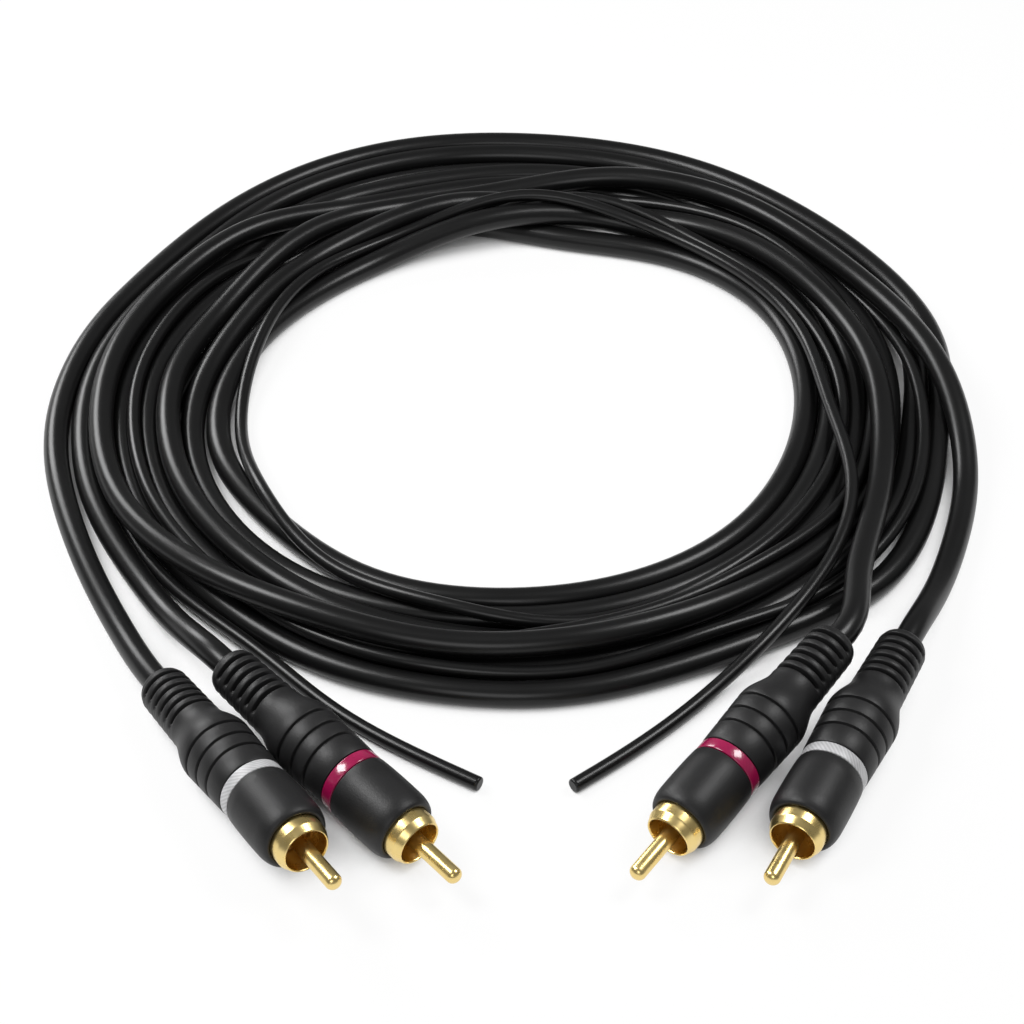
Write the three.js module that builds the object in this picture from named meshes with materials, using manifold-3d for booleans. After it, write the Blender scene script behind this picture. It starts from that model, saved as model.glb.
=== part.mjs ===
// A stereo audio lead with a remote wire, lying in a loose round coil.
// Two shielded cords and one thin wire run side by side. Each cord ends in a moulded phono plug,
// and the thin wire is cut off plainly at both ends.
// Millimetres, +Z up. The origin is on the floor, in the middle of the four plugs.

import * as THREE from 'three';
import { mergeVertices } from 'three/addons/utils/BufferGeometryUtils.js';
import Module from 'manifold-3d';

const wasm = await Module();
wasm.setup();

// Driving dimensions

const fit = 0.25; // clearance between a piece and its seat

const cord = { diameter: 5.4, coreDiameter: 2.4, shieldDiameter: 3.6, conductorDiameter: 1, shieldLength: 5.8 };
const wire = { diameter: 2.9 };

// The moulded boot, from the cord's end to the mouth.
const boot = {
  reliefLength: 15.4,
  flareLength: 8.2,
  gripLength: 12.6,
  noseLength: 13.6,
  rearDiameter: 7.2,
  kneeDiameter: 9.2,
  kneeLength: 1.6,
  reliefDiameter: 10.6,
  gripDiameter: 14.4,
  seatDiameter: 13.4,
  noseDiameter: 13.8,
  mouthDiameter: 11.6,
  noseRounding: 3.4,
};
const slots = { count: 6, first: 2.1, pitch: 2.2, width: 1, depth: 1.15, halfAngle: 68 };
const grooves = { count: 3, first: 0.6, pitch: 3.6, width: 0.6, depth: 0.4 };
const ring = { width: 2.4, thickness: 0.6, inset: 0.1 };

// The gilt contacts.
const shell = {
  collarDiameter: 10.4,
  collarLength: 3.8,
  collarSeat: 2,
  rimChamfer: 0.5,
  bore: 8.3,
  boreDepth: 12,
  bodyDiameter: 9.3,
  sleeveDiameter: 6.2,
  sleeveLength: 14,
  shoulder: 1.6,
};
const pin = { diameter: 3.2, reach: 10.6, cupDiameter: 2.4, cupDepth: 4.5, cupLength: 6 };
const bush = { length: 6 };
const mould = { length: 14 };
const jacket = { end: 21 }; // how far the cord's jacket reaches into the boot

// The coil's outer shape, and its centre on the floor.
const coil = { x: -2.2, y: 115.9, innerRadius: 63, width: 31, height: 8, rounding: 2.5 };

// Where each plug lies: the cord's end of its boot, the way its pin points and how far its nose
// is raised. A plug rests on the fullest ring of its boot.
const places = {
  white_left: { x: -72.5, y: 22.9, heading: -55.9, nose: 5.3, ring: 'white' },
  red_left: { x: -59, y: 23.1, heading: -47.8, nose: -3.4, ring: 'red' },
  red_right: { x: 58, y: 27.6, heading: -127.7, nose: -6.4, ring: 'red' },
  white_right: { x: 72.3, y: 31.6, heading: -117.7, nose: -0.8, ring: 'white' },
};

const straightOut = 5; // how far a cord runs straight on from its boot

// The leads, from the plug or the cut end back to the coil. Each point is x, y, z.
const routes = {
  white_left: [[-81, 38, 2.9], [-87.2, 49.5, 2.8], [-92.6, 61.6, 2.8], [-96.4, 71, 2.8],
    [-99.6, 80.6, 2.8], [-102.8, 92.2, 2.8], [-104.6, 104.5, 2.8], [-104.5, 118.5, 2.8],
    [-102.3, 133, 2.8], [-98, 147, 2.8], [-94.5, 154.5, 2.8], [-89.5, 162.5, 2.8], [-82.5, 170.5, 2.8]],
  red_left: [[-67, 33.5, 7.2], [-76.5, 48.7, 3.6], [-84, 61.6, 2.8], [-89, 71, 2.8],
    [-93.4, 80.8, 2.8], [-96.6, 92.2, 2.8], [-98.6, 104.1, 2.8], [-99.2, 117, 2.8]],
  red_right: [[61.6, 37.6, 11.8], [66.4, 54.5, 11.3]],
  white_right: [[78.3, 43.9, 5], [81.8, 51.6, 3.6], [85.8, 61.6, 2.8], [90.1, 75.5, 2.8],
    [92.8, 86.5, 2.8], [94.3, 99.4, 2.8], [94.5, 107, 2.8]],
};
const wireRoutes = {
  left: [[-10.5, 0.2, 1.6], [-20, 6, 1.6], [-28.8, 11.8, 1.6], [-39.8, 20.3, 1.6], [-51, 31.6, 2.2],
    [-58.1, 38.5, 3]],
  right: [[6.9, -0.3, 1.6], [17.9, 8.6, 1.6], [29.8, 19.4, 2], [40, 30.3, 3]],
};

// How round the pieces are, and how many diameters long each step of a tube is.
const around = { boot: 20, contact: 20, hidden: 12, cord: 10, wire: 8, coil: 36 };
const stepLength = { cord: 2.4, wire: 2.8 };

// Finishes

const finish = (color, roughness, metalness = 0) => ({ color, roughness, metalness });
const finishes = {
  rubber: finish(0x2b2b2d, 0.62),
  jacket: finish(0x1a1a1b, 0.45),
  white: finish(0xc4c4c6, 0.4),
  red: finish(0x9c0f48, 0.3),
  gilt: finish(0xd0a94e, 0.22, 1),
  plastic: finish(0xd9d6cc, 0.5),
  copper: finish(0xb4683a, 0.35, 1),
};

// Shapes

const degrees = Math.PI / 180;

// An S-shaped rise from one radius to another, as points of station and radius.
function rise(from, to, steps) {
  const points = [];
  for (let i = 0; i <= steps; i += 1) {
    const t = i / steps;
    const s = t * t * (3 - 2 * t);
    points.push([from[0] + (to[0] - from[0]) * t, from[1] + (to[1] - from[1]) * s]);
  }
  return points;
}

// A quarter of an ellipse between two points; it leaves the first one radially.
function quarter(from, to, steps) {
  const points = [];
  for (let i = 0; i <= steps; i += 1) {
    const a = (i / steps) * 90 * degrees;
    points.push([from[0] + (to[0] - from[0]) * (1 - Math.cos(a)), from[1] + (to[1] - from[1]) * Math.sin(a)]);
  }
  return points;
}

// A solid turned about X. The outline is a closed loop of station and radius, given from the
// low end over the outside and back through the bore or along the axis.
function turned(outline, segments) {
  const points = outline.map(([station, radius]) => new THREE.Vector2(radius, station));
  const last = outline[outline.length - 1];
  if (outline[0][1] > 0 || last[1] > 0) points.push(points[0].clone());
  return new THREE.LatheGeometry(points, segments).rotateZ(-90 * degrees);
}

// A sleeve between two stations and two radii.
function sleeve(from, to, inner, outer, segments) {
  return turned([[from, inner], [from, outer], [to, outer], [to, inner]], segments);
}

// A rod between two stations.
function rod(from, to, radius, segments) {
  return turned([[from, 0], [from, radius], [to, radius], [to, 0]], segments);
}

function toSolid(geometry) {
  const plain = geometry.clone();
  plain.deleteAttribute('normal');
  plain.deleteAttribute('uv');
  const merged = mergeVertices(plain, 1e-4);
  return new wasm.Manifold(new wasm.Mesh({
    numProp: 3,
    vertProperties: new Float32Array(merged.attributes.position.array),
    triVerts: new Uint32Array(merged.index.array),
  }));
}

function toGeometry(solid) {
  const mesh = solid.getMesh();
  const geometry = new THREE.BufferGeometry();
  geometry.setAttribute('position', new THREE.BufferAttribute(mesh.vertProperties, 3));
  geometry.setIndex(new THREE.BufferAttribute(mesh.triVerts, 1));
  geometry.computeVertexNormals();
  return geometry;
}

function piece(name, geometry, look) {
  const mesh = new THREE.Mesh(geometry, new THREE.MeshStandardMaterial(finishes[look]));
  mesh.name = name;
  return mesh;
}

// The plug's stations along its axis, from the cord's end of the boot.

const flareStart = boot.reliefLength;
const gripStart = flareStart + boot.flareLength;
const seatStart = gripStart + boot.gripLength;
const noseStart = seatStart + ring.width + 2 * fit;
const mouth = noseStart + boot.noseLength;
const rim = mouth + shell.collarLength;
const tip = rim + pin.reach;
const boreEnd = rim - shell.boreDepth;
const bodyStart = boreEnd - shell.shoulder;
const sleeveStart = bodyStart - shell.sleeveLength;
const bushStart = boreEnd + fit;

const bodyRadius = shell.bodyDiameter / 2;
const collarRadius = shell.collarDiameter / 2;
const boreRadius = shell.bore / 2;
const pinRadius = pin.diameter / 2;
const cordRadius = cord.diameter / 2;

// The outside of the boot: rounded knee, ribbed relief, flare, grip, ring seat and nose.
function bootOutside() {
  const seatFloor = boot.seatDiameter / 2 - ring.inset - ring.thickness - fit;
  const outline = [
    ...quarter([0, boot.rearDiameter / 2], [boot.kneeLength, boot.kneeDiameter / 2], 2),
    [slots.first, (boot.kneeDiameter + boot.reliefDiameter) / 4],
    ...rise([flareStart, boot.reliefDiameter / 2], [gripStart, boot.gripDiameter / 2], 5),
  ];
  const slope = (boot.seatDiameter - boot.gripDiameter) / 2 / boot.gripLength;
  const skin = (station) => boot.gripDiameter / 2 + slope * (station - gripStart);
  for (let i = 0; i < grooves.count; i += 1) {
    const station = gripStart + grooves.first + i * grooves.pitch;
    outline.push([station - grooves.width / 2, skin(station)]);
    outline.push([station, skin(station) - grooves.depth]);
    outline.push([station + grooves.width / 2, skin(station)]);
  }
  outline.push([seatStart, boot.seatDiameter / 2], [seatStart, seatFloor]);
  outline.push([noseStart, seatFloor], [noseStart, boot.seatDiameter / 2]);
  outline.push([noseStart + (boot.noseLength - boot.noseRounding) / 2, boot.noseDiameter / 2]);
  const rounding = quarter([mouth, boot.mouthDiameter / 2], [mouth - boot.noseRounding, boot.noseDiameter / 2], 3);
  return [...outline, ...rounding.reverse()];
}

function bootBore() {
  const body = bodyRadius + fit;
  const collar = collarRadius + fit;
  const seat = mouth - shell.collarSeat;
  return [[mouth, collar], [seat - fit, collar], [seat - fit, body],
    [jacket.end + fit, body], [jacket.end + fit, cordRadius + fit], [0, cordRadius + fit]];
}

// Ring sectors that cut the flexing slots in the boot's upper and lower face.
function slotCutters() {
  const outer = boot.gripDiameter / 2;
  const inner = boot.reliefDiameter / 2 - slots.depth;
  const half = slots.halfAngle * degrees;
  const cutters = [];
  for (const middle of [0, 180 * degrees]) {
    const sector = new THREE.Shape();
    sector.absarc(0, 0, outer, middle - half, middle + half, false);
    sector.absarc(0, 0, inner, middle + half, middle - half, true);
    for (let i = 0; i < slots.count; i += 1) {
      const cut = new THREE.ExtrudeGeometry(sector, { depth: slots.width, bevelEnabled: false, curveSegments: 4 });
      cutters.push(cut.rotateY(90 * degrees).translate(slots.first + i * slots.pitch, 0, 0));
    }
  }
  return cutters;
}

function bootGeometry() {
  let solid = toSolid(turned([...bootOutside(), ...bootBore()], around.boot));
  for (const cutter of slotCutters()) solid = solid.subtract(toSolid(cutter));
  return toGeometry(solid);
}

function ringGeometry() {
  const outer = boot.seatDiameter / 2 - ring.inset;
  const from = seatStart + fit;
  return sleeve(from, from + ring.width, outer - ring.thickness, outer, around.boot);
}

// The gilt shell: soldering sleeve, body, collar with a chamfered rim, and the bore for a socket.
function shellGeometry() {
  const sleeveOuter = shell.sleeveDiameter / 2;
  const sleeveInner = cord.shieldDiameter / 2 + fit;
  const seat = mouth - shell.collarSeat;
  return turned([
    [sleeveStart, sleeveInner], [sleeveStart, sleeveOuter], [bodyStart, sleeveOuter], [bodyStart, bodyRadius],
    [seat, bodyRadius], [seat, collarRadius], [rim - 2 * shell.rimChamfer, collarRadius],
    [rim, collarRadius - shell.rimChamfer], [rim, boreRadius], [boreEnd, boreRadius],
    [boreEnd, sleeveInner + 2 * fit], [bodyStart, sleeveInner + 2 * fit], [bodyStart, sleeveInner],
  ], around.contact);
}

function bushGeometry() {
  return sleeve(bushStart, bushStart + bush.length, pinRadius + fit, boreRadius - fit, around.contact);
}

// The centre pin: round nose, shank and the cup that the cord's conductor is soldered in.
function pinGeometry() {
  const cup = pin.cupDiameter / 2;
  const cupStart = bodyStart - pin.cupLength;
  const bore = cord.conductorDiameter / 2 + fit;
  const nose = quarter([tip, 0], [tip - pinRadius, pinRadius], 4).reverse();
  return turned([
    [cupStart + pin.cupDepth, 0], [cupStart + pin.cupDepth, bore], [cupStart, bore], [cupStart, cup],
    [bodyStart, cup], [bushStart, pinRadius], ...nose,
  ], around.hidden);
}

function mouldGeometry() {
  const end = bodyStart - fit;
  return sleeve(end - mould.length, end, shell.sleeveDiameter / 2 + fit, bodyRadius, around.hidden);
}

// Where the cord's layers end inside the boot.
const shieldStart = jacket.end + fit;
const coreEnd = bodyStart - pin.cupLength - fit;
const conductorEnd = bodyStart - pin.cupLength + pin.cupDepth - fit;

function plug(name, place) {
  const group = new THREE.Group();
  const add = (part, geometry, look) => group.add(piece(`${name}_${part}`, geometry, look));
  add('boot', bootGeometry(), 'rubber');
  add('colour_ring', ringGeometry(), place.ring);
  add('shell', shellGeometry(), 'gilt');
  add('insulating_bush', bushGeometry(), 'plastic');
  add('centre_pin', pinGeometry(), 'gilt');
  add('inner_mould', mouldGeometry(), 'plastic');
  add('cord_end', rod(0, jacket.end, cordRadius, around.hidden), 'jacket');
  add('shield', sleeve(shieldStart, shieldStart + cord.shieldLength, cord.coreDiameter / 2 + fit,
    cord.shieldDiameter / 2, around.hidden), 'copper');
  add('core', rod(shieldStart, coreEnd, cord.coreDiameter / 2, around.wire), 'plastic');
  add('conductor', rod(coreEnd + fit, conductorEnd, cord.conductorDiameter / 2, around.wire), 'copper');
  group.rotation.set(0, -place.nose * degrees, place.heading * degrees, 'ZYX');
  group.position.set(place.x, place.y, restHeight(place.nose));
  return group;
}

// How high the cord's end lies when the plug rests on its boot with its nose raised so far.
function restHeight(nose) {
  const lift = bootOutside().map(([station, radius]) => (
    radius * Math.cos(nose * degrees) - station * Math.sin(nose * degrees)));
  return Math.max(...lift);
}

// A tube of that diameter along the points, with steps of so many diameters.
function tube(points, diameter, sides, stepDiameters) {
  const section = new THREE.Shape();
  for (let i = 0; i < sides; i += 1) {
    const a = (i / sides) * 360 * degrees;
    const corner = [(Math.cos(a) * diameter) / 2, (Math.sin(a) * diameter) / 2];
    if (i === 0) section.moveTo(...corner);
    else section.lineTo(...corner);
  }
  section.closePath();
  const path = new THREE.CatmullRomCurve3(points, false, 'centripetal');
  const steps = Math.ceil(path.getLength() / (stepDiameters * diameter));
  return new THREE.ExtrudeGeometry(section, { steps, extrudePath: path, bevelEnabled: false });
}

const vectors = (points) => points.map((point) => new THREE.Vector3(...point));

// A plug's lead goes straight out of its boot and then along its points.
function lead(name, group) {
  group.updateMatrixWorld(true);
  const out = [-fit, -straightOut].map((station) => group.localToWorld(new THREE.Vector3(station, 0, 0)));
  const points = [...out, ...vectors(routes[name])];
  return piece(`${name}_lead`, tube(points, cord.diameter, around.cord, stepLength.cord), 'jacket');
}

function wireLead(side) {
  const points = vectors(wireRoutes[side]);
  return piece(`remote_wire_${side}`, tube(points, wire.diameter, around.wire, stepLength.wire), 'jacket');
}

// The coil's turns as one ring with rounded edges.
function coilGeometry() {
  const inner = coil.innerRadius;
  const outer = coil.innerRadius + coil.width;
  const r = coil.rounding;
  const outline = [];
  const corners = [
    [outer - r, r, -90], [outer - r, coil.height - r, 0], [inner + r, coil.height - r, 90], [inner + r, r, 180],
  ];
  for (const [x, y, start] of corners) {
    for (const step of [0, 1]) {
      const a = (start + step * 90) * degrees;
      outline.push(new THREE.Vector2(x + r * Math.cos(a), y + r * Math.sin(a)));
    }
  }
  outline.push(outline[0].clone());
  return new THREE.LatheGeometry(outline, around.coil).rotateX(90 * degrees);
}

// The whole lead

const cable = new THREE.Group();
for (const [name, place] of Object.entries(places)) {
  const group = plug(name, place);
  cable.add(group);
  cable.add(lead(name, group));
}
cable.add(wireLead('left'), wireLead('right'));
const coilRing = piece('coil', coilGeometry(), 'jacket');
coilRing.position.set(coil.x, coil.y, 0);
cable.add(coilRing);

export default cable;
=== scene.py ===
# %% [markdown]
# # A stereo audio lead in a loose coil
# The real object is two shielded cords and one thin remote wire, about two metres long each,
# laid down in a loose round coil. Each cord has a moulded phono plug at both ends, and the wire
# is cut off plainly. The solids were drawn in another program and come in as a fixed frame.
# Everything here is in metres in that same frame, so a piece goes where the solid is.

import math

import bpy
import numpy as np
from mathutils import Matrix, Vector


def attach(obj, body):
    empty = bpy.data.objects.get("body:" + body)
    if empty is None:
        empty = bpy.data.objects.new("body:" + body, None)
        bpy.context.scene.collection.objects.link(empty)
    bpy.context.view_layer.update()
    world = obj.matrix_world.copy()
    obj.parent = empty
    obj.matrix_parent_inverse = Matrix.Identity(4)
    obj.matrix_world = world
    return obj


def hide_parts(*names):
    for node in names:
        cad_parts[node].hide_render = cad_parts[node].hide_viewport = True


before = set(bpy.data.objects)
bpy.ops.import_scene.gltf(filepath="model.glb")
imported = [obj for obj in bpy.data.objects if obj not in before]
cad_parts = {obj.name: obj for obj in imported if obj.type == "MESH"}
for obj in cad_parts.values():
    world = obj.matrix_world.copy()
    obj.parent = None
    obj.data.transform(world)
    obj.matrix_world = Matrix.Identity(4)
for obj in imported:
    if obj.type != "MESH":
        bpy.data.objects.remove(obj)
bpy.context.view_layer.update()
print("solids in the frame:", len(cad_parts))

# %% [markdown]
# ## The camera
# The photograph looks down on the coil at 41 degrees, straight along +Y. The back of the coil
# looks hardly smaller than the front, so the camera stands half a metre off with a long lens.
# It is placed by the point that it looks at, its distance and its elevation, which is easier to
# adjust than a location and three angles.

# %% Camera
looked_at = Vector((-0.0045, 0.0799, 0))
distance = 0.511
elevation = math.radians(41)

back = Vector((0, -math.cos(elevation), math.sin(elevation)))
camera_data = bpy.data.cameras.new("camera")
camera_data.sensor_width = 36
camera_data.lens = 84.375
camera_data.clip_start = 0.01
camera_data.clip_end = 10
camera = bpy.data.objects.new("camera", camera_data)
bpy.context.scene.collection.objects.link(camera)
camera.location = looked_at + distance * back
camera.rotation_euler = (-back).to_track_quat("-Z", "Y").to_euler()
bpy.context.scene.camera = camera
print("camera at", [round(c, 4) for c in camera.location])

# %% [markdown]
# ## Where the plugs lie
# Each plug's place is the cord's end of its boot and the way its pin points, the same numbers as
# in the solids. A plug rests on the fullest ring of its boot, so its axis is up to 6 degrees off
# the floor's. The cords start from these places, and later the plugs are put there.

# %% Plug places
places = {
    "white_left": ((-0.0725, 0.0229, 0.004989), -55.9, 5.3),
    "red_left": ((-0.059, 0.0231, 0.009812), -47.8, -3.4),
    "red_right": ((0.058, 0.0276, 0.012396), -127.7, -6.4),
    "white_right": ((0.0723, 0.0316, 0.007587), -117.7, -0.8),
}


def plug_place(name):
    """The matrix that puts a plug, modelled along +X from its cord's end, in its place."""
    corner, heading, nose = places[name]
    sideways = Matrix.Rotation(math.radians(heading), 4, "Z")
    upwards = Matrix.Rotation(-math.radians(nose), 4, "Y")
    return Matrix.Translation(corner) @ (sideways @ upwards)


def on_axis(name, station):
    """The point of a plug's axis at that station, minus being outside its boot."""
    return tuple(plug_place(name) @ Vector((station, 0, 0)))


plug_length = 0.0671
for name in places:
    print(name, "pin tip at", [round(c, 4) for c in on_axis(name, plug_length)])

# %% [markdown]
# ## The routes of the cords
# A cord is a fixed length of something flexible, so its route is drawn first as a rope-maker
# would lay it: straight out of the boot, down to the floor, and into the coil. The leads repeat
# the points of the solids. Round the coil each point is an angle in degrees, a distance from the
# coil's centre and a height. The angles run on past -360 as the cord goes round, three and a
# half turns in all, so that each pass can be set to the lane in which the photograph shows it.

# %% Leads
cord_diameter = 0.0054
wire_diameter = 0.0029
coil_centre = (-0.0022, 0.1159)
inside_boot = 0.0006  # the cord is moulded in, so its line starts just inside the boot
straight_out = -0.005

leads = {
    "white_left": [
        (-0.081, 0.038, 0.0029), (-0.0872, 0.0495, 0.0028), (-0.0926, 0.0616, 0.0028),
        (-0.0964, 0.071, 0.0028), (-0.0996, 0.0806, 0.0028), (-0.1028, 0.0922, 0.0028),
        (-0.1046, 0.1045, 0.0028), (-0.1045, 0.1185, 0.0028), (-0.1023, 0.133, 0.0028),
        (-0.098, 0.147, 0.0028), (-0.0945, 0.1545, 0.0028),
    ],
    "red_left": [
        (-0.067, 0.0335, 0.0072), (-0.0765, 0.0487, 0.0036), (-0.084, 0.0616, 0.0028),
        (-0.089, 0.071, 0.0028), (-0.0934, 0.0808, 0.0028), (-0.0966, 0.0922, 0.0028),
        (-0.0986, 0.1041, 0.0028), (-0.0992, 0.117, 0.0028),
    ],
    "red_right": [(0.0616, 0.0376, 0.0118), (0.0664, 0.0545, 0.0113)],
    "white_right": [
        (0.0783, 0.0439, 0.005), (0.0818, 0.0516, 0.0036), (0.0858, 0.0616, 0.0028),
        (0.0901, 0.0755, 0.0028), (0.0928, 0.0865, 0.0028),
    ],
    "wire_left": [
        (-0.0105, 0.0002, 0.0016), (-0.02, 0.006, 0.0016), (-0.0288, 0.0118, 0.0016),
        (-0.0398, 0.0203, 0.0016), (-0.051, 0.0316, 0.0022), (-0.0581, 0.0385, 0.003),
    ],
    "wire_right": [
        (0.0069, -0.0003, 0.0016), (0.0179, 0.0086, 0.0016), (0.0298, 0.0194, 0.002),
        (0.04, 0.0303, 0.003),
    ],
}
for name in places:
    leads[name] = [on_axis(name, inside_boot), on_axis(name, straight_out)] + leads[name]
print("points in the leads:", {name: len(points) for name, points in leads.items()})

# %% White cord's passes
floor_height = 0.00275
white_passes = [
    (150, 0.0997), (140, 0.1014), (130, 0.1034), (120, 0.1054), (110, 0.1066), (100, 0.1061),
    (90, 0.1048), (80, 0.1038), (70, 0.103), (60, 0.1015), (50, 0.0994), (40, 0.0982), (30, 0.0973),
    (20, 0.0964), (10, 0.0954), (0, 0.0941),
    (-30, 0.0926), (-60, 0.0917), (-90, 0.0915), (-120, 0.0926), (-150, 0.0915),
    (-180, 0.0886), (-195, 0.0877), (-210, 0.0866), (-225, 0.0881), (-240, 0.0897),
    (-270, 0.0903), (-285, 0.0896),
    (-300, 0.088), (-315, 0.0851), (-330, 0.0837), (-345, 0.0825), (-360, 0.0808),
    (-390, 0.0808), (-420, 0.0828, 0.0055), (-450, 0.084, 0.0072),
    (-480, 0.089, 0.0072), (-510, 0.0923, 0.0076), (-540, 0.0924, 0.0076), (-570, 0.0903, 0.0055),
    (-600, 0.0847), (-630, 0.085), (-645, 0.0843), (-660, 0.0828), (-675, 0.079), (-690, 0.0782),
    (-705, 0.077), (-720, 0.0753), (-750, 0.075), (-780, 0.0773, 0.0035), (-810, 0.0788, 0.004),
    (-840, 0.0812, 0.004), (-870, 0.0805, 0.005), (-900, 0.079, 0.005), (-915, 0.0772),
    (-930, 0.0755), (-950, 0.0765), (-960, 0.076, 0.0045), (-970, 0.0755, 0.007),
    (-980, 0.0772, 0.0076), (-990, 0.0812, 0.0076), (-1000, 0.0832, 0.0076),
    (-1010, 0.0852, 0.0076), (-1020, 0.0861, 0.0076), (-1035, 0.0872, 0.0076),
    (-1050, 0.0884, 0.0078), (-1065, 0.0904, 0.0088),
    (-1077, 0.0928, 0.0096), (-1084, 0.0949, 0.008), (-1090, 0.0971, 0.0052),
]
print("the white cord goes from", white_passes[0][0], "to", white_passes[-1][0], "degrees")

# %% Red cord's passes
red_passes = [
    (165, 0.0959), (150, 0.0944), (140, 0.0956), (130, 0.0975), (120, 0.0994), (110, 0.1007),
    (100, 0.1004), (90, 0.0992), (80, 0.0982), (70, 0.0973), (60, 0.0958), (50, 0.0938),
    (40, 0.0926), (30, 0.0918), (15, 0.0904), (0, 0.0887),
    (-30, 0.0867), (-60, 0.0862), (-90, 0.086),
    (-120, 0.087), (-150, 0.0853), (-180, 0.0833), (-210, 0.0805), (-240, 0.074), (-260, 0.068),
    (-270, 0.066), (-285, 0.0658), (-300, 0.0666), (-315, 0.0679), (-330, 0.0671), (-345, 0.066),
    (-360, 0.0649), (-390, 0.0638),
    (-420, 0.0661), (-450, 0.0673), (-480, 0.0685), (-510, 0.0665), (-540, 0.0669),
    (-570, 0.0636), (-600, 0.0638), (-630, 0.0645, 0.006), (-645, 0.067, 0.0075),
    (-660, 0.0716, 0.004), (-675, 0.0733), (-690, 0.0726), (-705, 0.0714), (-720, 0.07),
    (-750, 0.0694), (-780, 0.0717),
    (-810, 0.073), (-840, 0.0755), (-870, 0.076), (-900, 0.0723), (-930, 0.0685),
    (-950, 0.071), (-960, 0.07, 0.005), (-980, 0.0705, 0.0065), (-990, 0.0725, 0.005),
    (-1005, 0.0755, 0.003), (-1020, 0.0772), (-1035, 0.0762, 0.0065), (-1050, 0.0762, 0.0076),
    (-1060, 0.077, 0.0078), (-1071, 0.0776, 0.0078), (-1081, 0.0784, 0.0076),
    (-1090, 0.0791, 0.0076), (-1102, 0.0823, 0.0078), (-1112, 0.0863, 0.009),
]
print("the red cord goes from", red_passes[0][0], "to", red_passes[-1][0], "degrees")

# %% Thin wire's passes
wire_floor_height = 0.0015
wire_passes = [
    (-126, 0.09545, 0.003), (-137, 0.0954, 0.003), (-148, 0.0938, 0.002), (-165, 0.0928, 0.0016),
    (-180, 0.0927, 0.0016), (-195, 0.092, 0.0016), (-210, 0.0904, 0.0016), (-225, 0.0925, 0.0016),
    (-240, 0.0953), (-255, 0.0962), (-270, 0.0952), (-285, 0.0937), (-300, 0.0919),
    (-315, 0.0891), (-330, 0.0878), (-345, 0.0872, 0.004), (-360, 0.0881, 0.0075),
    (-375, 0.0892, 0.0068), (-390, 0.0896, 0.0058), (-420, 0.0891, 0.0058),
    (-450, 0.0888, 0.0058), (-480, 0.0918, 0.006), (-510, 0.088, 0.0062),
    (-540, 0.086, 0.0066), (-555, 0.0848, 0.006), (-570, 0.0823, 0.006),
    (-590, 0.0803, 0.005), (-610, 0.0805, 0.003), (-630, 0.0807, 0.002), (-645, 0.0805, 0.004),
    (-660, 0.08, 0.0058), (-675, 0.0815, 0.0065), (-690, 0.081, 0.0058), (-705, 0.0798, 0.0058),
    (-720, 0.0781, 0.0058), (-750, 0.0779, 0.0058), (-780, 0.0795, 0.0062),
    (-810, 0.08, 0.0069), (-840, 0.084, 0.006), (-870, 0.0808, 0.003), (-900, 0.0773),
    (-930, 0.073, 0.002), (-950, 0.0665, 0.003), (-970, 0.0665, 0.006), (-990, 0.0685, 0.005),
    (-1005, 0.069, 0.0058), (-1020, 0.0698, 0.0062), (-1035, 0.0705, 0.0058),
    (-1050, 0.0699, 0.0058), (-1065, 0.0696, 0.006), (-1080, 0.0705, 0.0065),
    (-1110, 0.0722, 0.0058), (-1140, 0.0745, 0.0058), (-1170, 0.0757, 0.0058),
    (-1200, 0.072, 0.006), (-1230, 0.066, 0.006), (-1260, 0.0643, 0.006),
    (-1275, 0.0638, 0.006), (-1290, 0.0635, 0.006), (-1310, 0.0643, 0.006),
    (-1330, 0.066, 0.008), (-1340, 0.0668, 0.009), (-1352, 0.0679, 0.009),
    (-1370, 0.0672, 0.0085), (-1380, 0.0668, 0.0078), (-1390, 0.0668, 0.0072),
    (-1400, 0.0672, 0.0068), (-1411, 0.0666, 0.0066), (-1417, 0.0663, 0.0066),
    (-1427, 0.0661, 0.0066), (-1438, 0.0667, 0.0066), (-1447, 0.0686, 0.0066),
    (-1455, 0.0711, 0.0066), (-1463, 0.0749, 0.0066), (-1471, 0.0798, 0.0066),
    (-1476, 0.0833, 0.0066), (-1483, 0.0854, 0.0066), (-1490, 0.0887, 0.0066),
    (-1499, 0.0943, 0.0066),
]
print("the thin wire goes from", wire_passes[0][0], "to", wire_passes[-1][0], "degrees")

# %% [markdown]
# ## From points to even steps
# The given points are joined by one smooth curve and walked along in steps of 3 mm. A
# centripetal Catmull-Rom curve goes through every point and never loops back between two close
# ones, which a Bezier with automatic handles can do.

# %% Smooth curve with even steps
step = 0.003


def round_the_coil(passes, floor):
    """The points of passes given as angle, distance and height, the floor's if left out."""
    points = []
    for angle, radius, *height in passes:
        a = math.radians(angle)
        x = coil_centre[0] + radius * math.cos(a)
        y = coil_centre[1] + radius * math.sin(a)
        points.append((x, y, height[0] if height else floor))
    return points


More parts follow.
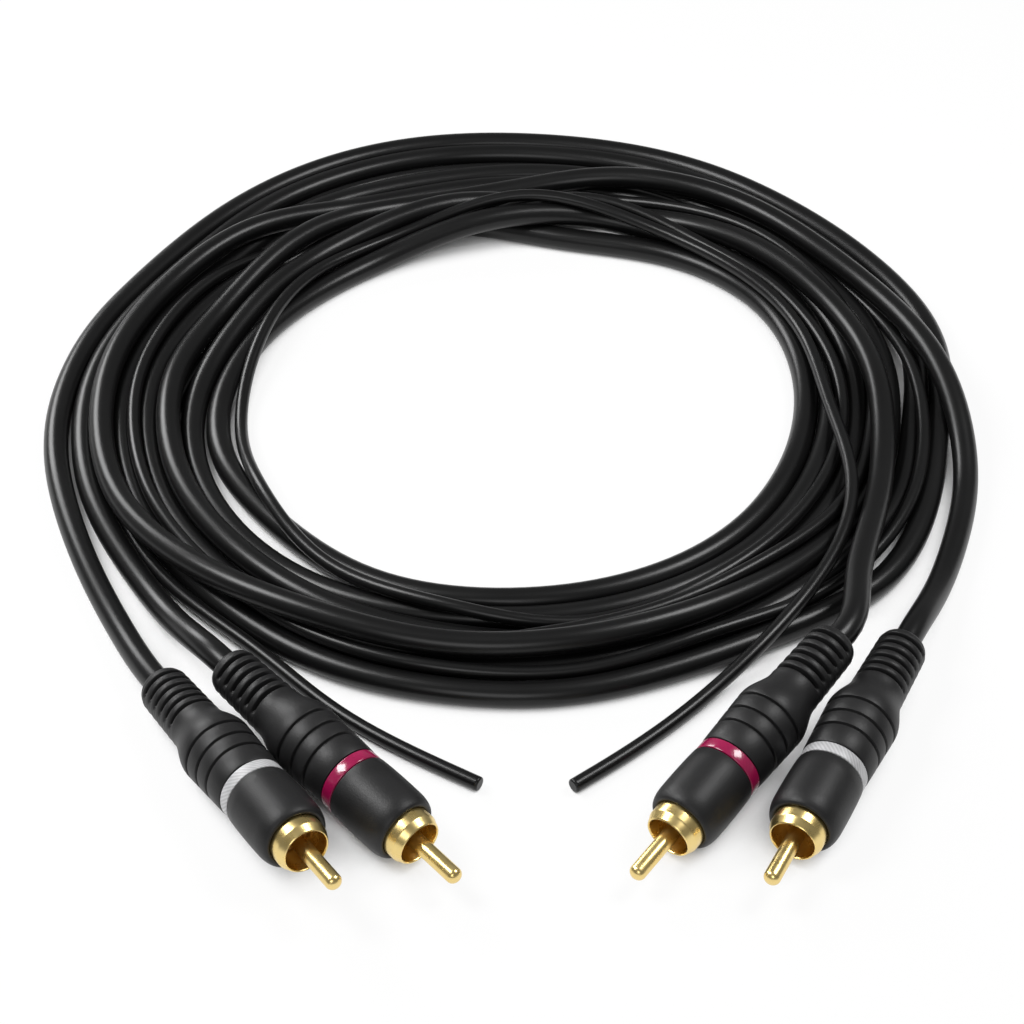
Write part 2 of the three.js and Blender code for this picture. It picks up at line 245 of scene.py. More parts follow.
def smooth_curve(points, per_span=24):
    """Points along a centripetal Catmull-Rom curve."""
    p = np.array(points)
    p = np.vstack([2 * p[0] - p[1], p, 2 * p[-1] - p[-2]])
    spans = []
    for p0, p1, p2, p3 in zip(p, p[1:], p[2:], p[3:]):
        t1, t2, t3 = np.cumsum([math.dist(a, b) ** 0.5 for a, b in ((p0, p1), (p1, p2), (p2, p3))])
        t = np.linspace(t1, t2, per_span, endpoint=False)[:, None]
        a1 = p0 + (p1 - p0) * t / t1
        a2 = p1 + (p2 - p1) * (t - t1) / (t2 - t1)
        a3 = p2 + (p3 - p2) * (t - t2) / (t3 - t2)
        b1 = a1 + (a2 - a1) * t / t2
        b2 = a2 + (a3 - a2) * (t - t1) / (t3 - t1)
        spans.append(b1 + (b2 - b1) * (t - t1) / (t2 - t1))
    return np.vstack(spans + [p[-2:-1]])


def even_steps(curve):
    """The same line as points one step apart, with the distance of each along it."""
    along = np.r_[0, np.cumsum(np.linalg.norm(np.diff(curve, axis=0), axis=1))]
    stations = np.linspace(0, along[-1], round(along[-1] / step) + 1)
    return np.column_stack([np.interp(stations, along, curve[:, k]) for k in range(3)]), stations


print("a cord has a point every", step, "m")

# %% The three lines before they settle
drawn = {
    "white_cord": ("white_left", round_the_coil(white_passes, floor_height), "white_right"),
    "red_cord": ("red_left", round_the_coil(red_passes, floor_height), "red_right"),
    "remote_wire": ("wire_left", round_the_coil(wire_passes, wire_floor_height), "wire_right"),
}
radii = {
    "white_cord": cord_diameter / 2, "red_cord": cord_diameter / 2,
    "remote_wire": wire_diameter / 2,
}

place, radius, along, owner, held = [], [], [], [], []
for number, (cord, (first, middle, last)) in enumerate(drawn.items()):
    line, stations = even_steps(smooth_curve(leads[first] + middle + leads[last][::-1]))
    lead_end = np.linalg.norm(line[: len(line) // 4] - leads[first][-1], axis=1).argmin()
    lead_start = np.linalg.norm(line[::-1][: len(line) // 4] - leads[last][-1], axis=1).argmin()
    fixed = np.ones(len(line), bool)
    fixed[lead_end + 1 : len(line) - lead_start - 1] = False
    place.append(line)
    radius.append(np.full(len(line), radii[cord]))
    along.append(stations)
    owner.append(np.full(len(line), number))
    held.append(fixed)
    print(cord, "drawn", round(stations[-1], 3), "m long,", int(fixed.sum()), "points in its leads")
place, radius, along, owner, held = map(np.concatenate, (place, radius, along, owner, held))
free = ~held[:, None]
ends = np.nonzero(owner[1:] != owner[:-1])[0]
end_points = np.concatenate([ends, ends + 1])

# %% [markdown]
# ## Taking out the kinks
# Given points are never quite even, and a real cord is too stiff to follow them. Each
# point is moved a little against the change of bend on its two sides, which is what a stiff
# rod does. Short waves go at once and long ones hardly at all, so the lanes stay. At first only
# the ends don't move, because a boot holds the cord there. Later the leads stay too, because
# they repeat the solids.

# %% Straighten the lines
end_length = 0.008
gentle = 0.06  # the share of a kink that goes in one round
rounds_with_leads, rounds_of_coil = 250, 750


def bends():
    """How far each point's neighbours turn away from it."""
    bend = np.zeros_like(place)
    bend[1:-1] = place[2:] - 2 * place[1:-1] + place[:-2]
    bend[end_points] = 0
    return bend


def straighten(strength, movable):
    bend = bends()
    kink = np.zeros_like(place)
    kink[1:-1] = bend[2:] - 2 * bend[1:-1] + bend[:-2]
    kink[end_points] = 0
    place[:] -= strength * kink * movable


length_of = np.array([along[owner == number].max() for number in range(len(drawn))])
middle_part = (along > end_length) & (along < length_of[owner] - end_length)
drawn_line = place.copy()
for _ in range(rounds_with_leads):
    straighten(gentle, middle_part[:, None])
for _ in range(rounds_of_coil):
    straighten(gentle, free)
place[:, 2] = np.maximum(place[:, 2], radius)
print("straightening moved the lines at most", round(float(abs(place - drawn_line).max()), 4), "m")

# %% [markdown]
# ## Letting the cords settle
# Drawn lanes never quite fit: cords sink into each other or hang in the air. A rope solver of
# a few lines puts that right. In each round every point drops a little, is drawn weakly back to
# its lane, is pushed out of any cord that it touches, and is kept on the floor. Then the whole
# movement is rounded to the shapes that so stiff a cord can take: a sum of smooth bumps 28 mm
# apart. In the last rounds the cords are only pushed apart. Blender's own cloth or soft body
# could be tried too, but thin cords that press on each other need very small steps there.

# %% Who is near whom
centre_gap = 0.0001  # the air that is kept between two cords
own_bend = 0.015  # nearer than this along one cord, two points are neighbours and don't collide
rows_at_once = 500


def near_pairs(reach):
    """Pairs of points of two cords, or far apart on one, that are nearly touching."""
    firsts, seconds = [], []
    for start in range(0, len(place), rows_at_once):
        rows = slice(start, start + rows_at_once)
        apart = np.square(place[rows, None] - place[None]).sum(-1)
        limit = np.square(radius[rows, None] + radius[None] + reach)
        i, j = np.nonzero(apart < limit)
        i += start
        other = (owner[i] != owner[j]) | (abs(along[i] - along[j]) > own_bend)
        keep = (i < j) & other
        firsts.append(i[keep])
        seconds.append(j[keep])
    return np.concatenate(firsts), np.concatenate(seconds)


def directions():
    """The direction of the cord at each point."""
    way = np.zeros_like(place)
    way[1:-1] = place[2:] - place[:-2]
    way[0], way[-1] = place[1] - place[0], place[-1] - place[-2]
    way[ends] = place[ends] - place[ends - 1]
    way[ends + 1] = place[ends + 2] - place[ends + 1]
    return way / np.linalg.norm(way, axis=1)[:, None]


print("pairs of points that touch as drawn:", len(near_pairs(0)[0]))

# %% Push cords apart
alongside = 0.9  # the cosine above which two cords run beside each other and don't cross
abreast = 0.75 * step


def push_apart(first, second):
    """Moves cords out of each other, and says how deep the worst of them was."""
    way = directions()
    same = (way[first] * way[second]).sum(1)
    crossing = abs(same) < alongside
    shared = way[first] * np.sign(same)[:, None] + way[second]
    shared /= np.maximum(np.linalg.norm(shared, axis=1), 1e-9)[:, None]
    between = place[second] - place[first]
    ahead = (between * shared).sum(1)
    across = np.where(crossing[:, None], between, between - ahead[:, None] * shared)
    gap = np.linalg.norm(across, axis=1)
    depth = radius[first] + radius[second] + centre_gap - gap
    touching = (depth > 0) & ((abs(ahead) < abreast) | crossing)
    i, j = first[touching], second[touching]
    push = across[touching] * (depth[touching] / np.maximum(gap[touching], 1e-6))[:, None]
    both = np.maximum(free[i] * 1.0 + free[j], 1)
    moved, count = np.zeros_like(place), np.zeros(len(place))
    np.add.at(moved, i, -push * free[i] / both)
    np.add.at(moved, j, push * free[j] / both)
    np.add.at(count, i, 1)
    np.add.at(count, j, 1)
    place[:] += moved * (np.minimum(count, 2) / np.maximum(count, 1))[:, None]
    return depth.max() if len(depth) else 0


def stand_on_floor():
    place[:, 2] = np.where(held, place[:, 2], np.maximum(place[:, 2], radius))


# %% The shapes that a stiff cord can take
bump_spacing = 0.028


def bump(distance):
    """A smooth bump that is two spacings wide on either side."""
    x = abs(distance)
    return np.where(x < 1, 2 / 3 - x**2 + x**3 / 2, np.where(x < 2, (2 - x) ** 3 / 6, 0))


shapes = []
for number, cord in enumerate(drawn):
    rows = np.nonzero(owner == number)[0]
    loose = along[rows][~held[rows]]
    count = int((loose[-1] - loose[0]) // bump_spacing)
    spacing = (loose[-1] - loose[0]) / count
    middles = loose[0] + spacing * np.arange(2, count - 1)
    bumps = bump((along[rows, None] - middles) / spacing)
    shapes.append((rows, bumps, np.linalg.pinv(bumps)))
    print(cord, "bends in", len(middles), "bumps")


def keep_stiff(lane):
    for rows, bumps, fit in shapes:
        place[rows] = lane[rows] + bumps @ (fit @ (place[rows] - lane[rows]))


# %% Settle
lane = place.copy()
drop = np.array([0, 0, 0.0001])
pull = np.array([0.09, 0.09, 0.015])
all_rounds, falling_rounds, search_every, search_reach = 380, 300, 10, 0.0025
for number in range(all_rounds):
    if number % search_every == 0:
        first, second = near_pairs(search_reach)
    if number < falling_rounds:
        place -= drop * free
        place += (lane - place) * pull * free
        push_apart(first, second)
    worst = push_apart(first, second)
    stand_on_floor()
    keep_stiff(lane)
stand_on_floor()
print("cords moved at most", round(float(abs(place - lane).max()), 4), "m from their lanes")
print("where they press on each other most, they are", round(float(worst), 5), "m deep")

# %% [markdown]
# ## The cords as curves
# Each settled line becomes a curve of one open spline with a round bevel, which keeps the cord
# exactly as thick as the real one at every bend. The thin wire's two cut ends are closed, and
# their edge is softened by making the last points a little thinner.

# %% Cord curves
cords = {}
edge_stations, edge_sizes = (0, 0.00008, 0.0003, 0.0007), (0.72, 0.92, 1, 1)
for number, cord in enumerate(drawn):
    line = place[owner == number]
    sizes = np.ones(len(line))
    if cord == "remote_wire":
        for end, after in ((0, 1), (-1, -2)):
            way = line[after] - line[end]
            way /= np.linalg.norm(way)
            soft = [line[end] + way * inwards for inwards in edge_stations]
            if end == 0:
                line, sizes = np.vstack([soft, line[1:]]), np.r_[edge_sizes, sizes[1:]]
            else:
                line = np.vstack([line[:-1], soft[::-1]])
                sizes = np.r_[sizes[:-1], edge_sizes[::-1]]
    curve = bpy.data.curves.new(cord, "CURVE")
    curve.dimensions = "3D"
    curve.bevel_depth = radii[cord]
    curve.bevel_resolution = 8 if cord != "remote_wire" else 6
    curve.use_fill_caps = True
    curve.twist_mode = "MINIMUM"
    spline = curve.splines.new("POLY")
    spline.points.add(len(line) - 1)
    spline.points.foreach_set("co", np.column_stack([line, np.ones(len(line))]).ravel())
    spline.points.foreach_set("radius", sizes)
    spline.use_smooth = True
    cords[cord] = bpy.data.objects.new(cord, curve)
    bpy.context.scene.collection.objects.link(cords[cord])
    length = np.linalg.norm(np.diff(line, axis=0), axis=1).sum()
    cords[cord]["real_length"] = float(length)
    print(cord, "settled", round(float(length), 3), "m long")

# %% [markdown]
# ## Finishes as expressions
# A material that changes over its surface needs a handful of maths nodes, and a node tree built
# line by line is hard to read. So a socket is wrapped in a small class whose operators add the
# nodes: rough + 0.1 * speckle reads as what it is. Anything that isn't plain arithmetic comes
# from one method, which takes a node's type, its settings and what goes into its sockets.

# %% Finish and signal


class Signal:
    """A socket's value, with which one can calculate."""

    def __init__(self, finish, socket):
        self.finish, self.socket = finish, socket

    def maths(self, operation, first, second):
        return self.finish.node("ShaderNodeMath", {"operation": operation}, {0: first, 1: second})

    def __add__(self, other):
        return self.maths("ADD", self, other)

    def __sub__(self, other):
        return self.maths("SUBTRACT", self, other)

    def __mul__(self, other):
        return self.maths("MULTIPLY", self, other)

    def __rsub__(self, other):
        return self.maths("SUBTRACT", other, self)

    __radd__, __rmul__ = __add__, __mul__


class Finish:
    """A procedural material on one Principled shader."""

    def __init__(self, name, **constants):
        self.material = bpy.data.materials.new(name)
        self.material.use_nodes = True
        self.nodes, self.links = self.material.node_tree.nodes, self.material.node_tree.links
        self.nodes.clear()
        self.shader = self.nodes.new("ShaderNodeBsdfPrincipled")
        self.output = self.nodes.new("ShaderNodeOutputMaterial")
        self.links.new(self.shader.outputs[0], self.output.inputs["Surface"])
        for socket, value in constants.items():
            self.put(self.shader.inputs[socket.replace("_", " ")], value)
        self.where = self.node("ShaderNodeTexCoord", output="Object")

    def put(self, socket, value):
        if isinstance(value, Signal):
            self.links.new(value.socket, socket)
        else:
            socket.default_value = value

    def node(self, kind, settings=None, inputs=None, output=0):
        made = self.nodes.new(kind)
        for name, value in (settings or {}).items():
            setattr(made, name, value)
        for socket, value in (inputs or {}).items():
            self.put(made.inputs[socket], value)
        return Signal(self, made.outputs[output])

    def speckle(self, scale, detail):
        """Soft noise from 0 to 1, with so many spots a metre."""
        spots = {"Vector": self.where, "Scale": scale, "Detail": detail}
        return self.node("ShaderNodeTexNoise", None, spots, "Fac")

    def band(self, signal, low, high):
        """0 below low, 1 above high."""
        limits = {"Value": signal, "From Min": low, "From Max": high}
        return self.node("ShaderNodeMapRange", {"clamp": True}, limits)

    def blend(self, share, first, second):
        """A mix of two colours, whose sockets on the Mix node are the sixth and seventh."""
        return self.node("ShaderNodeMix", {"data_type": "RGBA"}, {0: share, 6: first, 7: second}, 2)

    def set(self, **varying):
        for socket, value in varying.items():
            self.put(self.shader.inputs[socket.replace("_", " ")], value)

    def relief(self, height, depth, strength=1.0):
        """A bump of that depth in metres, from a height that goes from 0 to 1."""
        bump = {"Height": height, "Distance": depth, "Strength": strength}
        self.set(Normal=self.node("ShaderNodeBump", None, bump, "Normal"))


print("finishes are made with", Finish.__name__, "and", Signal.__name__)

# %% [markdown]
# ## The jacket's finish
# The cords are black PVC with a satin skin: nearly black, with narrow highlights that are a bit
# uneven, because the skin has a fine grain and long faint smudges. A flat black would look like
# paint, so the roughness drifts along the cord and a very fine relief breaks the highlight up.

# %% Black satin jacket
jacket = Finish("black_satin_jacket", Specular_IOR_Level=0.33)
smudge = jacket.speckle(60, 3)
grain = jacket.speckle(2600, 2)
jacket.set(
    Base_Color=jacket.blend(smudge, (0.003, 0.003, 0.0031, 1), (0.0055, 0.0055, 0.0056, 1)),
    Roughness=0.26 + 0.08 * smudge + 0.02 * grain,
)
jacket.relief(grain, 0.000006, 0.15)
for cord, piece in cords.items():
    piece.data.materials.append(jacket.material)
print("jacket on", list(cords))

# %% [markdown]
# ## A lathe for round parts
# Boot, ring, shell, bush and pin are all turned parts, so one helper turns them: a circle is
# added, then extruded and scaled from station to station, as a hand would do it in edit mode.
# A spin of a profile gives the same shape, but with the rings made one by one each of them can
# be found again by its station. An outline that comes back to its start closes on itself, and a
# radius of nothing closes at the axis.

# %% Turning
MM = 0.001
nothing = 1e-6


def turn(name, outline, sides):
    """Turns an outline of station and radius in millimetres about X into a closed piece."""
    bpy.ops.object.select_all(action="DESELECT")
    points = [(station * MM, max(radius * MM, nothing)) for station, radius in outline]
    start, size = points[0]
    facing_x = (0, math.pi / 2, 0)
    bpy.ops.mesh.primitive_circle_add(
        vertices=sides, radius=size, location=(start, 0, 0), rotation=facing_x, enter_editmode=True
    )
    for (before, old), (station, new) in zip(points, points[1:]):
        bpy.ops.mesh.extrude_region_move(TRANSFORM_OT_translate={"value": (station - before, 0, 0)})
        scale = new / old
        bpy.ops.transform.resize(value=(1, scale, scale), center_override=(station, 0, 0))
    bpy.ops.mesh.select_all(action="SELECT")
    bpy.ops.mesh.remove_doubles(threshold=2e-6)
    bpy.ops.mesh.normals_make_consistent(inside=False)
    bpy.ops.object.mode_set(mode="OBJECT")
    piece = bpy.context.object
    piece.name = piece.data.name = name
    bpy.ops.object.transform_apply(location=True, rotation=True, scale=True)
    return piece


def quarter(start, end, steps, flat_first=True):
    """Points of a quarter ellipse between two points; it leaves the first one along its radius."""
    points = []
    for k in range(steps + 1):
        a = math.pi / 2 * k / steps
        u, v = (1 - math.cos(a), math.sin(a)) if flat_first else (math.sin(a), 1 - math.cos(a))
        points.append((start[0] + (end[0] - start[0]) * u, start[1] + (end[1] - start[1]) * v))
    return points


def ease(t):
    """0 to 1 as t goes from 0 to 1, slow at both ends."""
    return t * t * (3 - 2 * t)


def swell(start, end, steps):
    """An S-shaped rise between two points."""
    points = []
    for k in range(steps + 1):
        t = k / steps
        station = start[0] + (end[0] - start[0]) * t
        points.append((station, start[1] + (end[1] - start[1]) * ease(t)))
    return points


def smooth(piece, angle):
    """Shades a piece smooth but for edges that are sharper than the angle."""
    bpy.ops.object.select_all(action="DESELECT")
    piece.select_set(True)
    bpy.context.view_layer.objects.active = piece
    bpy.ops.object.shade_smooth_by_angle(angle=math.radians(angle))


print("lathe ready")

# %% [markdown]
# ## The boot
# The boot is moulded rubber: a rounded knee round the cord, a slim relief with six slots that
# let it flex, a flare to a fat grip with three fine grooves, a seat for the coloured ring, and a
# nose that bulges a little and rounds over at its mouth. The slots are cut above and below only
# and run out at the sides. They are turned as full grooves first, because a lathe can't stop
# half way round, and then the floor of each is lifted back to the skin at both sides.

# %% Boot outline
knee, relief_end, grip_start = 1.6, 15.4, 23.6
seat_start, nose_start, mouth_station = 36.2, 39.1, 52.7
relief_radii, grip_radii, seat_radius = (4.95, 5.3), (7.2, 6.7), 5.8
slot_count, slot_first, slot_pitch, slot_width, slot_depth = 6, 2.1, 2.2, 1.1, 1.2
groove_count, groove_first, groove_pitch, groove_depth = 3, 0.6, 3.6, 0.55
shoulder, lip, wall = 0.14, 0.09, 0.22  # how far from a slot's edge its skin rounds over


def relief_skin(station):
    """The radius of the slim part between knee and flare."""
    slim, stout = relief_radii
    return slim + (stout - slim) * (station - slot_first) / (relief_end - slot_first)


def grip_skin(station):
    """The radius of the grip, which narrows towards the ring."""
    stout, slim = grip_radii
    return stout + (slim - stout) * (station - grip_start) / (seat_start - grip_start)


cord_bore, mould_bore, mould_start, mould_end = 2.72, 4.9, 21.25, 50.45
boot_outline = [(mould_start, cord_bore), (0.35, cord_bore), (0, 2.95), (0, 3.2)]
boot_outline += quarter((0, 3.4), (knee, 4.75), 6)[1:]
slot_floors = []
for k in range(slot_count):
    near_edge = slot_first + k * slot_pitch
    far_edge = near_edge + slot_width
    hollow = [
        (near_edge + lip, 0.25), (near_edge + wall, slot_depth),
        (far_edge - wall, slot_depth), (far_edge - lip, 0.25),
    ]
    next_rib = near_edge + (slot_width + slot_pitch) / 2
    slot = [(near_edge - shoulder, 0), (near_edge, 0.05)] + hollow
    slot += [(far_edge, 0.05), (far_edge + shoulder, 0), (next_rib, -0.04)]
    boot_outline += [(station, relief_skin(station) - sink) for station, sink in slot]
    slot_floors += hollow
boot_outline += swell((relief_end, relief_radii[1]), (grip_start - 0.6, grip_radii[0]), 10)
groove = [(-0.6, 0), (-0.42, 0.05), (-0.22, groove_depth)]
groove += [(-offset, sink) for offset, sink in groove[::-1]]
for k in range(groove_count):
    middle = grip_start + groove_first + k * groove_pitch
    for offset, sink in groove:
        boot_outline.append((middle + offset, grip_skin(middle + offset) - sink))
boot_outline += [
    (seat_start - 0.25, grip_radii[1]), (seat_start, 6.55), (seat_start, seat_radius),
    (nose_start, seat_radius), (nose_start, 6.6), (nose_start + 0.2, 6.72),
    (nose_start + 2.5, 6.84), (44.2, 6.9), (47, 6.92),
]
boot_outline += quarter((49.3, 6.9), (mouth_station, 5.85), 9, flat_first=False)
boot_outline += [
    (mouth_station + 0.02, 5.6), (mouth_station - 0.2, 5.3), (mould_end, 5.28),
    (mould_end, mould_bore), (mould_start, mould_bore), (mould_start, cord_bore),
]
print("boot outline has", len(boot_outline), "points")

# %% Turn the boot and let its slots run out
boot_sides = 72
boot = turn("boot", boot_outline, boot_sides)
fade_from, fade_to = 56, 76


def select_vertices(piece, chosen):
    """Selects in edit mode the vertices for which chosen(position) is true, and counts them."""
    bpy.ops.object.mode_set(mode="EDIT")
    bpy.ops.mesh.select_mode(type="VERT")
    bpy.ops.mesh.select_all(action="DESELECT")
    bpy.ops.object.mode_set(mode="OBJECT")
    count = 0
    for vertex in piece.data.vertices:
        if chosen(vertex.co):
            vertex.select = True
            count += 1
    bpy.ops.object.mode_set(mode="EDIT")
    return count


def from_top(co):
    """Degrees of a point from the top or the bottom of the plug, whichever is nearer."""
    a = abs(math.degrees(math.atan2(co.y, co.z)))
    return min(a, 180 - a)


lifted = 0
same_station, same_radius, same_column = 0.00001, 0.00002, 1
quarter_turn = [360 / boot_sides * k for k in range(boot_sides // 4 + 1)]
columns = [column for column in quarter_turn if column > fade_from]
for station, sink in slot_floors:
    for column in columns:
        t = min((column - fade_from) / (fade_to - fade_from), 1)
        low = relief_skin(station) - sink
        high = low + sink * ease(t)

        def in_column(co, station=station, column=column, low=low):
            out = math.hypot(co.y, co.z)
            return (
                abs(co.x - station * MM) < same_station
                and abs(out - low * MM) < same_radius
                and abs(from_top(co) - column) < same_column
            )

        lifted += select_vertices(boot, in_column)
        scale = high / low
        bpy.ops.transform.resize(value=(1, scale, scale), center_override=(station * MM, 0, 0))
        bpy.ops.object.mode_set(mode="OBJECT")
smooth(boot, 50)
print("lifted", lifted, "points of", len(boot.data.vertices))

# %% [markdown]
# ## The ring, the contacts and the bush
# The coloured ring is a plain band with softened edges, a tenth of a millimetre below the
# rubber. The shell is turned brass, gilded: a collar with a bevelled bright rim outside, and
# inside the boot a body and a soldering sleeve. The pin has a domed tip. The plastic bush holds
# it in the middle of the shell. All are turned to the outlines of the solids, with finer steps.

# %% Ring, shell, bush and pin
ring_from, ring_to, ring_radius = 36.45, 38.85, 6.62
ring = turn("colour_ring", [
    (ring_from, 6.0), (ring_from, ring_radius - 0.12), (ring_from + 0.05, ring_radius - 0.04),
    (ring_from + 0.2, ring_radius), (ring_to - 0.2, ring_radius),
    (ring_to - 0.05, ring_radius - 0.04), (ring_to, ring_radius - 0.12), (ring_to, 6.0),
    (ring_from, 6.0),
], 72)
smooth(ring, 45)

rim_station, bore_end, body_start, sleeve_start = 56.5, 44.5, 42.9, 28.9
shell = turn("shell", [
    (sleeve_start, 2.05), (sleeve_start, 3.0), (sleeve_start + 0.1, 3.1), (body_start, 3.1),
    (body_start, 4.5), (body_start + 0.15, 4.65), (50.7, 4.65), (50.7, 5.1), (50.8, 5.2),
    (54.75, 5.2), (54.95, 5.16), (55.1, 5.06), (56.25, 4.62), (56.42, 4.52), (rim_station, 4.4),
    (56.47, 4.3), (56.35, 4.22), (56.1, 4.15), (bore_end, 4.15), (bore_end, 2.55),
    (body_start, 2.55), (body_start, 2.05), (sleeve_start, 2.05),
], 72)
smooth(shell, 40)

bush = turn("insulating_bush", [
    (44.75, 1.85), (44.75, 3.8), (44.85, 3.9), (50.5, 3.9), (50.7, 3.82), (50.75, 3.65),
    (50.75, 2.1), (50.6, 1.9), (50.4, 1.85), (44.75, 1.85),
], 48)
smooth(bush, 40)

tip_station, pin_radius = 67.1, 1.6
pin_outline = [
    (41.4, 0), (41.4, 0.75), (36.9, 0.75), (36.9, 1.1), (37.0, 1.2), (42.7, 1.2),
    (44.75, pin_radius),
]
pin_outline += quarter((65.75, pin_radius), (tip_station, 0), 9, flat_first=False)
pin = turn("centre_pin", pin_outline, 40)
smooth(pin, 40)
for piece in (boot, ring, shell, bush, pin):
    print(piece.name, len(piece.data.polygons), "faces")

# %% [markdown]
# ## A map round the plug
# Once a piece lies in its place, the lathe's axis is no longer the X axis, so a pattern that
# follows the turning needs its own map. Each corner of the turned pieces gets a UV: the turn
# round the axis, from 0 to 1, and the station along it, in centimetres.

# %% Map round the axis
def map_round(piece):
    layer = piece.data.uv_layers.new(name="round_and_along")
    for face in piece.data.polygons:
        turns = []
        for loop in face.loop_indices:
            co = piece.data.vertices[piece.data.loops[loop].vertex_index].co
            turns.append((loop, math.atan2(co.z, co.y) / math.tau % 1, co.x * 100))
        high = max(turned for _, turned, _ in turns)
        for loop, turned, station in turns:
            layer.data[loop].uv = (turned + 1 if high - turned > 0.5 else turned, station)


for piece in (boot, ring, shell, bush, pin):
    map_round(piece)
print("mapped five pieces")

# %% [markdown]
# ## The plug's finishes
# The rubber is a dark grey-black, duller than the cords, with the fine grain of a spark-eroded
# mould. The white ring is painted, with a fine slanted brushing that shows in the photograph,
# and the red one is a glossy crimson. The contacts are gilded and polished, so most of their
# look is what they mirror, and a slight unevenness keeps them from looking like chrome.

# %% Moulded rubber
rubber = Finish("moulded_rubber", Specular_IOR_Level=0.36)
cloudy = rubber.speckle(180, 3)
grain = rubber.speckle(3200, 2)
rubber.set(
    Base_Color=rubber.blend(cloudy, (0.0068, 0.0067, 0.007, 1), (0.0115, 0.0113, 0.0117, 1)),
    Roughness=0.36 + 0.12 * cloudy + 0.1 * grain,
)
rubber.relief(grain, 0.00004, 0.6)

# %% White and crimson rings
brush_marks = (29, 7, 1)  # how close they lie round the ring, and how much they slant


def ring_finish(name, colours, brushing, **constants):
    """A painted ring whose fine brushing runs slanted round it."""
    paint = Finish(name, **constants)
    mapped = paint.node("ShaderNodeUVMap", {"uv_map": "round_and_along"})
    place_of_marks = {"Vector": mapped, "Scale": brush_marks}
    slanted = paint.node("ShaderNodeMapping", None, place_of_marks, "Vector")
    waves = {"Vector": slanted, "Scale": 1.0, "Distortion": 0.6, "Detail": 2}
    brushed = paint.node("ShaderNodeTexWave", {"bands_direction": "DIAGONAL"}, waves, "Fac")
    patches = paint.speckle(500, 3)
    paint.set(
        Base_Color=paint.blend(brushed * brushing + patches * (1 - brushing), *colours),
        Roughness=constants["Roughness"] + 0.1 * patches,
    )
    paint.relief(brushed, 0.00003, brushing)
    return paint


white_paint = ring_finish(
    "white_ring_paint", ((0.27, 0.27, 0.275, 1), (0.6, 0.6, 0.61, 1)), 0.4, Roughness=0.32
)
red_paint = ring_finish(
    "crimson_ring_paint", ((0.22, 0.003, 0.045, 1), (0.36, 0.007, 0.075, 1)), 0.15,
    Roughness=0.16, Coat_Weight=0.6, Coat_Roughness=0.08,
)

# %% Gilding, insulator and copper
gilt = Finish("polished_gilding", Metallic=1.0)
tarnish = gilt.speckle(420, 3)
fine = gilt.speckle(5000, 2)
gilt.set(
    Base_Color=gilt.blend(tarnish, (0.83, 0.6, 0.2, 1), (0.9, 0.72, 0.34, 1)),
    Roughness=0.19 + 0.14 * tarnish + 0.05 * fine,
)
gilt.relief(fine, 0.00001, 0.4)

insulator = Finish("amber_brown_insulator", Roughness=0.4)
mottle = insulator.speckle(700, 3)
insulator.set(Base_Color=insulator.blend(mottle, (0.3, 0.16, 0.05, 1), (0.46, 0.27, 0.1, 1)))
insulator.relief(mottle, 0.00004, 0.5)

moulding = Finish("inner_moulding", Roughness=0.5)
cloud = moulding.speckle(400, 3)
moulding.set(Base_Color=moulding.blend(cloud, (0.5, 0.48, 0.42, 1), (0.66, 0.64, 0.58, 1)))
moulding.relief(cloud, 0.00005, 0.5)

copper = Finish("drawn_copper", Metallic=1.0)
streak = copper.speckle(2200, 3)
copper.set(
    Base_Color=copper.blend(streak, (0.62, 0.26, 0.13, 1), (0.8, 0.4, 0.22, 1)),
    Roughness=0.28 + 0.15 * streak,
)
copper.relief(streak, 0.00003, 0.6)
print("finishes:", sorted(material.name for material in bpy.data.materials if material.use_nodes))

# %% [markdown]
# ## Four plugs from one
# The pieces are modelled once and copied to the four places, each copy with its own mesh. The
# place is then applied, so that every object stands at the origin with its place in its mesh,
# as the solids do.

# %% Put the pieces in place
plug_pieces = {name: [] for name in places}


def place_copy(model, plug, part, finish):
    bpy.ops.object.select_all(action="DESELECT")
    model.select_set(True)
    bpy.context.view_layer.objects.active = model
    bpy.ops.object.duplicate(linked=False)
    piece = bpy.context.object
    piece.name = piece.data.name = f"{plug}_{part}_looks"
    piece.matrix_world = plug_place(plug)
    bpy.ops.object.transform_apply(location=True, rotation=True, scale=True)
    piece.data.materials.clear()
    piece.data.materials.append(finish.material)
    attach(piece, "root")
    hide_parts(f"{plug}_{part}")
    plug_pieces[plug].append(piece)


for plug in places:
    paint, paint_slot = (white_paint, "white_ring") if "white" in plug else (red_paint, "red_ring")
    place_copy(boot, plug, "boot", rubber)
    place_copy(ring, plug, "colour_ring", paint)
    place_copy(shell, plug, "shell", gilt)
    place_copy(bush, plug, "insulating_bush", insulator)
    place_copy(pin, plug, "centre_pin", gilt)
for model in (boot, ring, shell, bush, pin):
    bpy.data.objects.remove(model)
print("placed", sum(len(pieces) for pieces in plug_pieces.values()), "pieces")

# %% [markdown]
# ## The hidden layers
# Inside each boot are the cord's end, its shield, core and conductor, and the moulding round
# the soldered joint. Their solids are the right shape, so they stay and only get a finish.

# %% Finish the hidden solids
hidden_finish = {
    "inner_mould": moulding, "cord_end": jacket, "shield": copper, "core": moulding,
    "conductor": copper,
}
hidden_nodes = {name: [] for name in places}
for plug in places:
    for part, finish in hidden_finish.items():
        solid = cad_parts[f"{plug}_{part}"]
        solid.data.materials.clear()
        solid.data.materials.append(finish.material)
        hidden_nodes[plug].append(solid)
print("finished", sum(len(solids) for solids in hidden_nodes.values()), "hidden solids")
